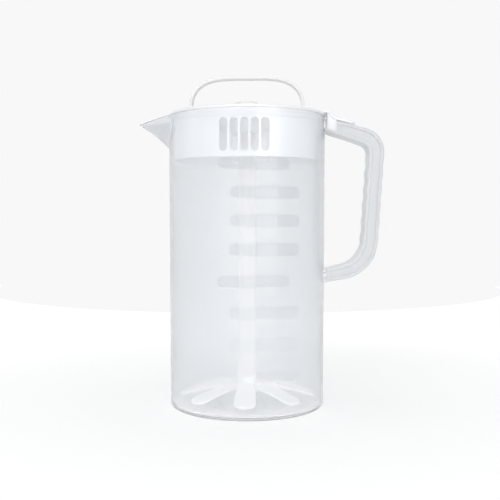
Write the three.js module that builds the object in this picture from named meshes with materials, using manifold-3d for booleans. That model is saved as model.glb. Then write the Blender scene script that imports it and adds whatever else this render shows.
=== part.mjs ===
// Two-litre stirring pitcher in millimetres, +Z up, spout towards -X and handle towards +X.
// The origin is on the vessel's axis, on the surface that it stands on.

import * as THREE from 'three';
import { mergeVertices } from 'three/addons/utils/BufferGeometryUtils.js';
import Module from 'manifold-3d';

const wasm = await Module();
wasm.setup();

// Vessel
const rimHeight = 226;
const rimRadius = 61;
const wallTaper = 1.5;
const wall = 2;
const floorThickness = 2.5;
const baseFillet = 4;
const roundSteps = 48;
const filletSteps = 3;

// Graduation windows, polished patches set a little into the front wall
const windowHeights = [32, 54.8, 77.6, 100.4, 123.5, 144.2, 164.5, 185.1];
const windowHeight = 9.2;
const windowLength = 54.5;
const windowDepth = 0.35;
const cupWindowTurn = 15.7;
const quartWindowTurn = 7;
const cupsInQuart = 4;
const windowEndSteps = 6;

// Spout
const spoutReach = 24;
const spoutTipDrop = 6.4;
const spoutDepth = 26.5;
const spoutMouthHalfAngle = 25;
const spoutKeelRadius = 4.5;
const spoutWall = 2.4;
const keelCurvePower = 1.3;
const mouthCurvePower = 0.46;
const spoutLevels = 10;
const keelSteps = 6;

// Handle: the corners of its centre line, measured out from the rim and down from it
const handleWidth = 25;
const topArmDrop = 6.6;
const topBendReach = 19;
const topBendDrop = 12.6;
const topBendRadius = 60;
const topCornerReach = 39.7;
const topCornerDrop = 19.4;
const topCornerRadius = 13;
const lowCornerReach = 32.8;
const lowCornerDrop = 117.7;
const lowCornerRadius = 26;
const lowArmDrop = 124.7;
const topRootThickness = 9.4;
const gripThickness = 12.4;
const lowRootThickness = 10;
const handleEdge = 2.4;
const handleEdgeSteps = 2;
const gripWaves = 6;
const gripWaveHeight = 0.55;
const stepsPerWave = 6;
const bendSteps = 5;
const channelDepth = 0.7;
const channelShare = 0.5;
const channelMargin = 1.2;

// Lid
const lidThickness = 2.6;
const lidFillet = 1.8;
const skirtWall = 2;
const skirtDepth = 36;
const landWidth = 8;
const deckDrop = 3.8;
const deckThickness = 2.2;
const bossRadius = 12;
const bossRise = 2;
const bossDepth = 10;

// Strainer slots at the front of the skirt and the pouring window at its back
const slotCount = 5;
const slotWidth = 5.9;
const slotPitch = 7.5;
const slotHeight = 25;
const slotFoot = 4.2;
const slotEndSteps = 5;
const pourWidth = 32;
const pourHeight = 22;
const pourCorner = 5;

// Thumb tab, which reaches out from the rim, and the key under it that lies in the handle's arc-shaped slot
const tabWidth = 24;
const tabThickness = 2.3;
const tabReach = 22.8;
const tabSlope = 15;
const tabCorner = 5;
const tabArchHeight = 0.8;
const tabArchFoot = 5;
const tabArchRise = 3;
const tabArchStart = 1.6;
const tabArchRun = 4.6;
const tabArchRadius = 2.2;
const keyOffset = 2.2;
const keyWidth = 7.2;
const keyStrapThickness = 2.6;

// Gasket in the skirt's groove
const gasketHeight = 3;
const gasketDepth = 1.3;
const gasketDrop = 3;

// Grommet in the lid's boss
const grommetRadius = 9.5;
const grommetHeight = 3.4;

// Plunger
const shaftSpan = 12.5;
const shaftRib = 3.2;
const socketRadius = 9.2;
const socketHeight = 9.7;
const socketRoof = 2.6;
const loopMargin = 8;
const loopHeight = 30.3;
const loopShoulder = 8;
const loopDepth = 9;
const loopThickness = 2.5;
const loopEdge = 0.7;
const loopSteps = 30;
const loopSquareness = 4;
const barHeight = 5.4;

// Stirrer
const stirrerLift = 10;
const hubRadius = 7.6;
const hubHeight = 13.2;
const hubFloor = 3;
const paddleCount = 8;
const paddleTipGap = 5.2;
const paddleRootWidth = 12.5;
const paddleTipWidth = 17;
const paddleCorner = 6.5;
const paddleThickness = 2;
const paddleRootHeight = 17;
const paddleTipHeight = 9.8;
const paddleDishing = 0.8;
const paddleStations = 5;
const paddleCornerStations = 3;
const paddleAcross = 4;

// Fits
const restGap = 0.3;
const skirtGap = 0.5;
const tabGap = 0.4;
const keyGap = 0.4;
const shaftGap = 0.3;
const overrun = 5;
const weld = 0.0005;

const quarterTurn = Math.PI / 2;
const radians = (degrees) => THREE.MathUtils.degToRad(degrees);
const mix = THREE.MathUtils.lerp;

// Solids

function solidOf(geometry) {
  const bare = geometry.index ? geometry.toNonIndexed() : geometry.clone();
  for (const name of Object.keys(bare.attributes)) {
    if (name !== 'position') bare.deleteAttribute(name);
  }
  const merged = mergeVertices(bare, weld);
  const places = merged.attributes.position.array;
  const corner = (k) => new THREE.Vector3().fromArray(places, 3 * k);
  const triangles = [];
  let volume = 0;
  for (let i = 0; i < merged.index.count; i += 3) {
    const [a, b, c] = [0, 1, 2].map((k) => merged.index.getX(i + k));
    if (a === b || b === c || c === a) continue;
    triangles.push([a, b, c]);
    volume += corner(a).dot(corner(b).cross(corner(c)));
  }
  const triVerts = Uint32Array.from(triangles.flatMap(([a, b, c]) => (volume < 0 ? [a, c, b] : [a, b, c])));
  const vertProperties = Float32Array.from(places);
  return new wasm.Manifold(new wasm.Mesh({ numProp: 3, vertProperties, triVerts }));
}

function joined(solids) {
  return solids.reduce((sum, solid) => sum.add(solid));
}

// Profile points are [distance from the axis, height].
function turned(profile) {
  const points = profile.map(([r, z]) => new THREE.Vector2(r, z));
  return solidOf(new THREE.LatheGeometry(points, roundSteps).rotateX(quarterTurn));
}

// Outline points are [x, z]; the plate lies upright, centred on the plane y = 0.
function uprightPlate(outline, depth, edge = 0, edgeSteps = 0) {
  const shape = new THREE.Shape(outline.map(([x, z]) => new THREE.Vector2(x, z)));
  const geometry = new THREE.ExtrudeGeometry(shape, {
    depth: depth - 2 * edge,
    bevelEnabled: edge > 0,
    bevelSize: edge,
    bevelOffset: -edge,
    bevelThickness: edge,
    bevelSegments: edgeSteps,
  });
  return solidOf(geometry.translate(0, 0, edge - depth / 2).rotateX(quarterTurn));
}

// Rings are lists of [x, y, z] with as many points each; the ends are closed by fans.
function lofted(rings) {
  const count = rings[0].length;
  const middle = (ring) => [0, 1, 2].map((k) => ring.reduce((sum, point) => sum + point[k], 0) / count);
  const places = [...rings.flat(), middle(rings[0]), middle(rings[rings.length - 1])].flat();
  const first = rings.length * count;
  const index = [];
  for (let j = 0; j < count; j += 1) {
    const next = (j + 1) % count;
    for (let i = 0; i + 1 < rings.length; i += 1) {
      const [a, b] = [i * count + j, i * count + next];
      index.push(a, b, b + count, a, b + count, a + count);
    }
    const last = (rings.length - 1) * count;
    index.push(first, next, j, first + 1, last + j, last + next);
  }
  const geometry = new THREE.BufferGeometry();
  geometry.setAttribute('position', new THREE.Float32BufferAttribute(places, 3));
  geometry.setIndex(index);
  return solidOf(geometry);
}

// Outline with round ends, long in the second direction.
function slotOutline(width, length, steps) {
  const end = (side) => Array.from({ length: steps + 1 }, (_, k) => {
    const angle = side * quarterTurn - quarterTurn + (k * Math.PI) / steps;
    return [(width / 2) * Math.cos(angle), (side * (length - width)) / 2 + (width / 2) * Math.sin(angle)];
  });
  return [...end(1), ...end(-1)];
}

function roundedRectangle(width, length, radius, steps) {
  const points = [];
  for (const [sx, sy, start] of [[1, 1, 0], [-1, 1, 1], [-1, -1, 2], [1, -1, 3]]) {
    for (let k = 0; k <= steps; k += 1) {
      const angle = (start + k / steps) * quarterTurn;
      points.push([
        sx * (width / 2 - radius) + radius * Math.cos(angle),
        sy * (length / 2 - radius) + radius * Math.sin(angle),
      ]);
    }
  }
  return points;
}

// Route of straight legs and round bends through corners [x, z, bend radius, steps of the leg that follows].
// Gives each point with its direction, and on a leg of several steps its leg's number and its share.
function bentPath(corners) {
  const vectors = corners.map(([x, z]) => new THREE.Vector2(x, z));
  const start = { point: vectors[0], ahead: vectors[1].clone().sub(vectors[0]).normalize() };
  const path = [start];
  const addLeg = (leg, end) => {
    const from = path[path.length - 1].point;
    const steps = corners[leg][3] ?? 1;
    for (let k = 1; k < steps; k += 1) {
      path.push({ point: from.clone().lerp(end.point, k / steps), ahead: end.ahead, leg, share: k / steps });
    }
    path.push(end);
  };
  for (let i = 1; i + 1 < corners.length; i += 1) {
    const into = vectors[i].clone().sub(vectors[i - 1]).normalize();
    const out = vectors[i + 1].clone().sub(vectors[i]).normalize();
    const turn = Math.atan2(into.cross(out), into.dot(out));
    const radius = corners[i][2];
    const side = new THREE.Vector2(-into.y, into.x).multiplyScalar(Math.sign(turn) * radius);
    const reach = radius * Math.tan(Math.abs(turn) / 2);
    const centre = vectors[i].clone().addScaledVector(into, -reach).add(side);
    for (let k = 0; k <= bendSteps; k += 1) {
      const spin = (turn * k) / bendSteps;
      const point = centre.clone().sub(side.clone().rotateAround(new THREE.Vector2(), spin));
      const place = { point, ahead: into.clone().rotateAround(new THREE.Vector2(), spin) };
      if (k === 0) addLeg(i - 1, place);
      else path.push(place);
    }
  }
  const [before, last] = vectors.slice(-2);
  addLeg(corners.length - 2, { point: last, ahead: last.clone().sub(before).normalize() });
  return path;
}

// Line beside a path, offset(place) to its left.
function beside(path, offset) {
  return path.map((place) => {
    const { point, ahead } = place;
    return [point.x - ahead.y * offset(place), point.y + ahead.x * offset(place)];
  });
}

// Band that reaches offset(place) to both sides of a path.
function bandOutline(path, offset) {
  return [...beside(path, offset), ...beside(path, (place) => -offset(place)).reverse()];
}

// Vessel

const baseRadius = rimRadius - wallTaper;
const outerRadiusAt = (z) => mix(baseRadius, rimRadius, z / rimHeight);
const innerRadiusAt = (z) => outerRadiusAt(z) - wall;

function filletPoints(radius, r, z, firstQuarter) {
  return Array.from({ length: filletSteps + 1 }, (_, k) => {
    const angle = (firstQuarter + k / filletSteps) * quarterTurn;
    return [r + radius * Math.cos(angle), z + radius * Math.sin(angle)];
  });
}

function vesselSolid() {
  const corner = filletPoints(baseFillet, outerRadiusAt(baseFillet) - baseFillet, baseFillet, -1);
  return turned([[0, 0], ...corner, [rimRadius, rimHeight], [0, rimHeight]]);
}

function cavitySolid() {
  const top = rimHeight + overrun;
  const inner = baseFillet - wall / 2;
  const height = floorThickness + inner;
  const corner = filletPoints(inner, innerRadiusAt(height) - inner, height, -1);
  return turned([[0, floorThickness], ...corner, [innerRadiusAt(top), top], [0, top]]);
}

// Spout: level sections, each two straight sides from the mouth's edges to a round keel

const spoutFootHeight = rimHeight - spoutDepth;

function spoutSection(height) {
  const climb = (height - spoutFootHeight) / (spoutDepth - spoutTipDrop);
  const radius = outerRadiusAt(height);
  const keel = radius + spoutReach * climb ** keelCurvePower;
  const mouthShare = Math.min(1, (height - spoutFootHeight) / spoutDepth) ** mouthCurvePower;
  const angle = radians(spoutMouthHalfAngle) * mouthShare;
  const [edgeX, edgeY] = [radius * Math.cos(angle), radius * Math.sin(angle)];
  const centre = keel - spoutKeelRadius;
  const [dx, dy] = [centre - edgeX, edgeY];
  const half = Math.atan2(dy, dx) - Math.asin(Math.min(1, spoutKeelRadius / Math.hypot(dx, dy)));
  return { centre, half, edgeX, edgeY };
}

function spoutRing(height, inset, inward) {
  const { centre, half, edgeX, edgeY } = spoutSection(height);
  const radius = spoutKeelRadius - inset;
  const endX = edgeX - inset * Math.sin(half) - inward * Math.cos(half);
  const endY = Math.max(weld, edgeY - inset * Math.cos(half) + inward * Math.sin(half));
  const spread = quarterTurn - half;
  const keel = Array.from({ length: keelSteps + 1 }, (_, k) => {
    const angle = mix(-spread, spread, k / keelSteps);
    return [-centre - radius * Math.cos(angle), radius * Math.sin(angle), height];
  });
  return [[-endX, -endY, height], ...keel, [-endX, endY, height]];
}

function spoutLoft(inset, inward, foot, top) {
  const rings = [];
  for (let k = 0; k <= spoutLevels; k += 1) {
    rings.push(spoutRing(mix(foot, top, (k / spoutLevels) ** 2), inset, inward));
  }
  return lofted(rings);
}

function spoutOuter() {
  const mouthEdge = rimRadius * Math.cos(radians(spoutMouthHalfAngle));
  const lipLength = rimRadius + spoutReach - mouthEdge;
  const size = 2 * (rimRadius + spoutReach);
  const above = new THREE.BoxGeometry(size, size, size).translate(0, 0, size / 2);
  above.rotateY(-Math.atan2(spoutTipDrop, lipLength)).translate(-mouthEdge, 0, rimHeight);
  return spoutLoft(0, 0, spoutFootHeight + wall / 2, rimHeight + overrun).subtract(solidOf(above));
}

function spoutBore() {
  return spoutLoft(spoutWall, 2 * wall, spoutFootHeight + 2 * spoutWall, rimHeight + overrun);
}

// The straight piece behind the mouth fills the wedge between the section's edges and the wall.
function spoutRoot() {
  const rings = [spoutFootHeight + wall / 2, rimHeight].map((height) => {
    const { edgeX, edgeY } = spoutSection(height);
    const plan = [[-edgeX, -edgeY], [-edgeX, edgeY], [wall - edgeX, edgeY], [wall - edgeX, -edgeY]];
    return plan.map(([x, y]) => [x, y, height]);
  });
  return lofted(rings);
}

// Handle

const gripLeg = 2;
const rootReach = -2 * wall;
const handlePath = bentPath([
  [rootReach, topArmDrop],
  [topBendReach, topBendDrop, topBendRadius],
  [topCornerReach, topCornerDrop, topCornerRadius, gripWaves * stepsPerWave],
  [lowCornerReach, lowCornerDrop, lowCornerRadius],
  [rootReach, lowArmDrop],
].map(([reach, drop, ...bend]) => [rimRadius + reach, rimHeight - drop, ...bend]));

// Both arms swell from the vessel to the grip.
function halfThickness({ point }) {
  const rootThickness = rimHeight - point.y < lowCornerDrop ? topRootThickness : lowRootThickness;
  const share = (point.x - rimRadius - rootReach) / (lowCornerReach - rootReach);
  return mix(rootThickness, gripThickness, Math.min(1, share)) / 2;
}

function wavyHalfThickness(place) {
  if (place.leg !== gripLeg) return halfThickness(place);
  const phase = 2 * Math.PI * gripWaves * place.share;
  return halfThickness(place) - (gripWaveHeight * (1 - Math.cos(phase))) / 2;
}

const armTop = beside(handlePath, halfThickness);
const armUnderside = beside(handlePath, (place) => -halfThickness(place));

function heightAt(line, x) {
  const after = line.findIndex(([reach]) => reach >= x);
  const [a, b] = [line[after - 1], line[after]];
  return mix(a[1], b[1], (x - a[0]) / (b[0] - a[0]));
}

// Thumb tab and key

const keyInner = rimRadius + keyOffset;
const keyOuter = keyInner + keyWidth;
const keyFoot = [keyInner, keyOuter].map((r) => heightAt(armUnderside, r) + keyStrapThickness + keyGap);
const tabEnd = rimRadius + tabReach;
const tabEndUnderside = heightAt(armTop, tabEnd) + tabGap;
const tabUndersideAt = (x) => tabEndUnderside + (tabEnd - x) * Math.tan(radians(tabSlope));

const crest = rimRadius + tabArchStart;
const landing = crest + tabArchRun;
const slopeRise = tabThickness / 2 / Math.cos(radians(tabSlope));
const tabSlopeMiddleAt = (x) => tabUndersideAt(x) + slopeRise;

function keyRing(gap) {
  const [innerFoot, outerFoot] = keyFoot.map((z) => z - gap);
  const archTop = lidTop - tabThickness / 2 + tabArchHeight;
  const innerTop = mix(archTop, tabSlopeMiddleAt(landing), (keyInner - crest) / tabArchRun);
  return turned([
    [keyInner - gap, innerFoot],
    [keyOuter + gap, outerFoot],
    [keyOuter + gap, tabSlopeMiddleAt(keyOuter) + gap],
    [landing, tabSlopeMiddleAt(landing) + gap],
    [keyInner - gap, innerTop + gap],
    [keyInner - gap, innerFoot],
  ]);
}

// A shallow channel runs round each side of the handle, from beside the key to the lower root.
function handleSolid() {
  const profile = bandOutline(handlePath, wavyHalfThickness);
  const bar = uprightPlate(profile, handleWidth, handleEdge, handleEdgeSteps);
  const [root, bend] = handlePath;
  const share = (keyOuter + channelMargin - root.point.x) / (bend.point.x - root.point.x);
  const channel = [{ ...bend, point: root.point.clone().lerp(bend.point, share) }, ...handlePath.slice(1)];
  const outline = bandOutline(channel, (place) => channelShare * halfThickness(place));
  const channels = [-1, 1].map((side) => (
    uprightPlate(outline, 2 * channelDepth).translate([0, (side * handleWidth) / 2, 0])
  ));
  return bar.subtract(joined(channels)).subtract(keyRing(keyGap));
}

// Graduation windows

function windowsSolid() {
  const plates = windowHeights.map((height, i) => {
    const turn = (i + 1) % cupsInQuart === 0 ? quartWindowTurn : cupWindowTurn;
    const chord = 2 * rimRadius * Math.sin(windowLength / rimRadius / 2);
    const shape = new THREE.Shape(
      slotOutline(windowHeight, chord, windowEndSteps).map(([z, x]) => new THREE.Vector2(x, z)),
    );
    const geometry = new THREE.ExtrudeGeometry(shape, { depth: rimRadius + baseRadius, bevelEnabled: false });
    geometry.rotateX(quarterTurn).rotateZ(radians(turn)).translate(0, 0, height);
    return solidOf(geometry);
  });
  const skin = turned([
    [baseRadius - windowDepth, 0],
    [rimRadius - windowDepth, rimHeight],
    [rimRadius + overrun, rimHeight],
    [baseRadius + overrun, 0],
    [baseRadius - windowDepth, 0],
  ]);
  return joined(plates).intersect(skin);
}

function pitcherBody() {
  const moulding = joined([vesselSolid(), spoutRoot(), spoutOuter(), handleSolid()]);
  return moulding.subtract(cavitySolid()).subtract(spoutBore()).subtract(windowsSolid());
}

// Lid

const lidUnderside = rimHeight + restGap;
const lidTop = lidUnderside + lidThickness;
const landRadius = rimRadius - landWidth;
const deckTop = lidTop - deckDrop;
const deckUnderside = deckTop - deckThickness;
const bossTop = deckTop + bossRise;
const bossFoot = deckUnderside - bossDepth;
const skirtFoot = lidUnderside - skirtDepth;
const skirtOuterAt = (z) => innerRadiusAt(z) - skirtGap;
const skirtInnerAt = (z) => skirtOuterAt(z) - skirtWall;
const shaftHole = shaftSpan / 2 + shaftGap;
const grommetFloor = bossTop - grommetHeight - restGap;
const grommetSeat = grommetRadius + restGap;
const gasketTop = lidUnderside - gasketDrop;
const gasketFoot = gasketTop - gasketHeight;

function lidShell() {
  const edge = filletPoints(lidFillet, rimRadius - lidFillet, lidTop - lidFillet, 0);
  const [grooveFoot, grooveTop] = [gasketFoot - restGap, gasketTop + restGap];
  return turned([
    [shaftHole, bossFoot],
    [bossRadius, bossFoot],
    [bossRadius, deckUnderside],
    [skirtInnerAt(deckUnderside), deckUnderside],
    [skirtInnerAt(skirtFoot), skirtFoot],
    [skirtOuterAt(skirtFoot), skirtFoot],
    [skirtOuterAt(grooveFoot), grooveFoot],
    [skirtOuterAt(grooveFoot) - gasketDepth, grooveFoot],
    [skirtOuterAt(grooveTop) - gasketDepth, grooveTop],
    [skirtOuterAt(grooveTop), grooveTop],
    [skirtOuterAt(lidUnderside), lidUnderside],
    [rimRadius, lidUnderside],
    ...edge,
    [landRadius, lidTop],
    [landRadius, deckTop],
    [bossRadius, deckTop],
    [bossRadius, bossTop],
    [grommetSeat, bossTop],
    [grommetSeat, grommetFloor],
    [shaftHole, grommetFloor],
    [shaftHole, bossFoot],
  ]);
}

function slotCutters() {
  const depth = 2 * (skirtWall + skirtGap + wall);
  const outline = slotOutline(slotWidth, slotHeight, slotEndSteps);
  const height = skirtFoot + slotFoot + slotHeight / 2;
  return Array.from({ length: slotCount }, (_, k) => {
    const x = (k - (slotCount - 1) / 2) * slotPitch;
    const y = -Math.sqrt(skirtOuterAt(height) ** 2 - x ** 2);
    return uprightPlate(outline, depth).translate([x, y, height]);
  });
}

function pourCutter() {
  const height = skirtFoot + slotFoot + pourHeight / 2;
  const outline = roundedRectangle(pourWidth, pourHeight, pourCorner, slotEndSteps);
  return uprightPlate(outline, skirtOuterAt(height)).translate([0, skirtOuterAt(height), height]);
}

function tabSolid() {
  const level = lidTop - tabThickness / 2;
  const archFoot = rimRadius - tabArchFoot;
  const path = bentPath([
    [landRadius, level],
    [archFoot, level, tabArchRadius],
    [archFoot + tabArchRise, level + tabArchHeight, tabArchRadius],
    [crest, level + tabArchHeight, tabArchRadius],
    [landing, tabSlopeMiddleAt(landing), tabArchRadius],
    [tabEnd, tabSlopeMiddleAt(tabEnd)],
  ]);
  const plate = uprightPlate(bandOutline(path, () => tabThickness / 2), tabWidth);
  const blank = new THREE.Shape(
    roundedRectangle(2 * tabEnd, tabWidth, tabCorner, slotEndSteps).map(([x, y]) => new THREE.Vector2(x, y)),
  );
  const plan = new THREE.ExtrudeGeometry(blank, { depth: lidTop, bevelEnabled: false });
  const column = solidOf(plan.translate(0, 0, overrun));
  const sector = new THREE.BoxGeometry(tabEnd, tabWidth, lidTop).translate(tabEnd / 2, 0, lidTop / 2);
  const key = keyRing(0).intersect(solidOf(sector));
  return plate.intersect(column).add(key);
}

function lidSolid() {
  return lidShell().add(tabSolid()).subtract(joined([...slotCutters(), pourCutter()]));
}

function gasketSolid() {
  const inner = (z) => skirtOuterAt(z) - gasketDepth + restGap;
  const outer = (z) => innerRadiusAt(z) - restGap;
  return turned([
    [inner(gasketFoot), gasketFoot],
    [outer(gasketFoot), gasketFoot],
    [outer(gasketTop), gasketTop],
    [inner(gasketTop), gasketTop],
    [inner(gasketFoot), gasketFoot],
  ]);
}

// Plunger

// Upright column with the shaft's cross-shaped section, all its faces moved out by the gap.
function crossSolid(gap, bottom, top) {
  const [s, r] = [shaftSpan / 2 + gap, shaftRib / 2 + gap];
  const arm = [[s, -r], [s, r], [r, r]];
  const points = [0, 1, 2, 3].flatMap((k) => arm.map(([x, y]) => (
    new THREE.Vector2(x, y).rotateAround(new THREE.Vector2(), k * quarterTurn)
  )));
  const section = new THREE.Shape(points);
  const geometry = new THREE.ExtrudeGeometry(section, { depth: top - bottom, bevelEnabled: false });
  return solidOf(geometry.translate(0, 0, bottom));
}

const socketFoot = bossTop + restGap;
const socketTop = socketFoot + socketHeight;
const shaftTop = socketTop - socketRoof - restGap;
const shaftFoot = stirrerLift + hubFloor + restGap;
const loopHalfWidth = landRadius - loopMargin;
const paddleReach = innerRadiusAt(paddleTipHeight) - paddleTipGap;

function grommetSolid() {
  const bottom = grommetFloor + restGap;
  const ring = turned([[0, bottom], [grommetRadius, bottom], [grommetRadius, bossTop], [0, bossTop]]);
  const hole = crossSolid(shaftGap, bottom - overrun, bossTop + overrun);
  return ring.subtract(hole);
}

// Upright legs on a level foot under a crown shaped as half a squared-off ellipse, all moved in by the inset.
function loopOutline(inset, foot) {
  const shoulder = socketFoot + loopShoulder;
  const rise = loopHeight - loopShoulder - inset;
  const half = loopHalfWidth - inset;
  const crown = Array.from({ length: loopSteps + 1 }, (_, k) => {
    const angle = (k * Math.PI) / loopSteps;
    const across = Math.cos(angle);
    const x = half * Math.sign(across) * Math.abs(across) ** (2 / loopSquareness);
    return [x, shoulder + rise * Math.sin(angle)];
  });
  return [...crown, [-half, foot], [half, foot]];
}

function plungerHandle() {
  const blank = uprightPlate(loopOutline(0, socketFoot), loopDepth, loopEdge, 1);
  const gap = uprightPlate(loopOutline(loopThickness, socketFoot + barHeight), 2 * loopDepth);
  const socket = turned([
    [0, socketFoot],
    [socketRadius, socketFoot],
    ...filletPoints(loopEdge, socketRadius - loopEdge, socketTop - loopEdge, 0),
    [0, socketTop],
  ]);
  const bore = crossSolid(shaftGap, socketFoot - overrun, shaftTop + restGap);
  return blank.subtract(gap).add(socket).subtract(bore);
}

// Paddle: sections across it at stations along it, its corners rounded in plan and its top hollowed
function paddleRing(reach, halfWidth) {
  const share = (reach - hubRadius) / (paddleReach - hubRadius);
  const top = mix(paddleRootHeight, paddleTipHeight, share ** 2);
  const upper = [];
  const lower = [];
  for (let k = 0; k <= paddleAcross; k += 1) {
    const across = mix(-1, 1, k / paddleAcross);
    const hollow = paddleDishing * (1 - across ** 2) * Math.min(1, halfWidth / (paddleTipWidth / 2));
    upper.push([reach, across * halfWidth, top - hollow]);
    lower.unshift([reach, across * halfWidth, top - hollow - paddleThickness]);
  }
  return [...upper, ...lower];
}

function paddleSolid() {
  const straightEnd = paddleReach - paddleCorner;
  const widthAt = (reach) => mix(paddleRootWidth, paddleTipWidth, reach / paddleReach) / 2;
  const rings = [];
  for (let k = 0; k <= paddleStations; k += 1) {
    const reach = mix(hubRadius / 2, straightEnd, k / paddleStations);
    rings.push(paddleRing(reach, widthAt(reach)));
  }
  for (let k = 1; k <= paddleCornerStations; k += 1) {
    const angle = (k / paddleCornerStations) * quarterTurn;
    const reach = straightEnd + paddleCorner * Math.sin(angle);
    const halfWidth = widthAt(reach) - paddleCorner * (1 - Math.cos(angle));
    rings.push(paddleRing(reach, halfWidth));
  }
  return lofted(rings);
}

function stirrerSolid() {
  const paddle = paddleSolid();
  const paddles = Array.from({ length: paddleCount }, (_, k) => (
    paddle.rotate([0, 0, (360 * k) / paddleCount])
  ));
  const top = stirrerLift + hubHeight;
  const hub = turned([[0, stirrerLift], [hubRadius, stirrerLift], [hubRadius, top], [0, top]]);
  const socket = crossSolid(shaftGap, stirrerLift + hubFloor, top + overrun);
  return joined([hub, ...paddles]).subtract(socket);
}

// Assembly

const frostedClear = new THREE.MeshStandardMaterial({ color: 0xdfe4e8, roughness: 0.45, metalness: 0 });
const lidWhite = new THREE.MeshStandardMaterial({ color: 0xf2f3f5, roughness: 0.35, metalness: 0 });
const plungerWhite = new THREE.MeshStandardMaterial({ color: 0xf4f2ed, roughness: 0.35, metalness: 0 });
const softWhite = new THREE.MeshStandardMaterial({ color: 0xeceef0, roughness: 0.7, metalness: 0 });

function named(name, solid, material) {
  const { numProp, vertProperties, triVerts } = solid.getMesh();
  const geometry = new THREE.BufferGeometry();
  geometry.setAttribute('position', new THREE.BufferAttribute(vertProperties, numProp));
  geometry.setIndex(new THREE.BufferAttribute(triVerts, 1));
  geometry.computeVertexNormals();
  const mesh = new THREE.Mesh(geometry, material);
  mesh.name = name;
  return mesh;
}

const pitcher = new THREE.Group();
pitcher.add(
  named('pitcher_body', pitcherBody(), frostedClear),
  named('lid', lidSolid(), lidWhite),
  named('lid_gasket', gasketSolid(), softWhite),
  named('shaft_grommet', grommetSolid(), softWhite),
  named('plunger_handle', plungerHandle(), plungerWhite),
  named('plunger_shaft', crossSolid(0, shaftFoot, shaftTop), plungerWhite),
  named('stirrer', stirrerSolid(), plungerWhite),
);

export default pitcher;
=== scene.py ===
import math

import bpy
import numpy as np
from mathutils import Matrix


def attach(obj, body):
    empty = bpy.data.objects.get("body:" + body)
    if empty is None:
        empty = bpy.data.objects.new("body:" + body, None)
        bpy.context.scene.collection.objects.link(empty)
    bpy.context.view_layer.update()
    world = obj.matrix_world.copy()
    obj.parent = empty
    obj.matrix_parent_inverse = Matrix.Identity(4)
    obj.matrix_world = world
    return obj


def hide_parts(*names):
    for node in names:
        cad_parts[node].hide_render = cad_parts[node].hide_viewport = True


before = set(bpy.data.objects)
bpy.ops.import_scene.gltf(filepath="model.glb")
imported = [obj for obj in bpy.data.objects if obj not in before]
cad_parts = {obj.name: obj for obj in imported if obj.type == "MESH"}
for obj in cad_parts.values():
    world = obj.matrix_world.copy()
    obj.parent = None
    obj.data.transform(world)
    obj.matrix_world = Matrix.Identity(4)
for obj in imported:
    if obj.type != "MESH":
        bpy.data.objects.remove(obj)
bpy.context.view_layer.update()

# A frosted stirring pitcher: vessel with spout and handle, turning strainer lid, and a plunger.
# Lengths are in millimetres until a mesh is made, which takes them to metres. +Z is up, the spout
# points to -X, the handle to +X, and -Y faces the camera.

METRE = 0.001

# ---- sizes ----

# Vessel: the rows of its mesh run level up to SLOPED_FROM_Z and then follow the lip's slope.
RIM_Z = 225.4
RIM_R = 61.0
BASE_R = 59.5
WALL = 2.0
FLOOR = 2.5
BASE_FILLET = 4.0
RIM_EDGE = 0.08
SLOPED_FROM_Z = 198.0
COARSE_ROWS = 4.0
TOP_ROW_DROP = 0.6

# Spout
SPOUT_REACH = 24.0
SPOUT_TIP_DROP = 5.8
SPOUT_DEPTH = 25.9
SPOUT_MOUTH = math.radians(25)
SPOUT_KEEL_R = 4.5
SPOUT_WALL = 2.1
KEEL_POWER = 1.3
MOUTH_POWER = 0.46
MOUTH_OVERLAP = 1.02

# Graduation windows: one for each cup, with every fourth, a quart, turned less far.
WINDOW_Z = (32.0, 54.8, 77.6, 100.4, 123.5, 144.2, 164.5, 185.1)
WINDOW_HIGH = 9.2
WINDOW_LONG = 54.5
WINDOW_DEEP = 0.3
WINDOW_EDGE = 0.9
WINDOW_ROWS = 5.4
WINDOW_ROW = 0.6
CUPS_IN_QUART = 4
CUP_TURN = math.radians(15.7)
QUART_TURN = math.radians(7.0)

# Handle: the corners of its middle line are reach past the rim's radius, drop below the rim and bend
# radius.
HANDLE_W = 25.0
HANDLE_EDGE = 2.4
ROOT_SINK = 4.0
LOW_CORNER_DROP = 117.1
HANDLE_CORNERS = ((-ROOT_SINK, 6.2, 0.0), (19.0, 12.3, 60.0), (39.7, 19.1, 13.0),
                  (32.8, LOW_CORNER_DROP, 26.0), (-ROOT_SINK, 124.1, 0.0))
TOP_ROOT_T = 9.6
GRIP_T = 12.4
LOW_ROOT_T = 10.0
SWELL_RUN = 36.8
TOP_ARM_DROP = 25.0
ROOT_BLEND = 12.0
CHANNEL_DEEP = 1.2
CHANNEL_FLANK = 0.35
CHANNEL_START = 71.6
CHANNEL_FADE = 1.5
WAVE_HIGH = 0.55
WAVE_PITCH = 12.6
WAVE_Z = (118.0, 200.0)
WAVE_FADE = 6.0
GRIP_REACH = 20.0

# Lid: flange, deck, boss and skirt
LID_GAP = 0.06
LID_T = 2.1
LID_FILLET = 1.3
FLANGE_EDGE = 0.04
SKIRT_GAP = 0.5
SKIRT_WALL = 2.0
SKIRT_DEPTH = 35.25
LAND_W = 8.0
DECK_DROP = 2.55
DECK_T = 2.2
BOSS_R = 12.0
BOSS_RISE = 2.0
BOSS_DEPTH = 10.0
BOSS_HEM = 1.0
BOSS_TOP_EDGE = 0.5
BOSS_ROOT = 0.8
BOSS_CEILING = 1.2
CEILING_CORNER = 1.5
SKIRT_HEM = 0.6
LAND_EDGE = 0.7
DECK_CORNER = 0.9
SHAFT_HOLE_R = 6.55
HOLE_EDGE = 0.4
GROMMET_R = 9.5
GROMMET_T = 3.4

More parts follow.
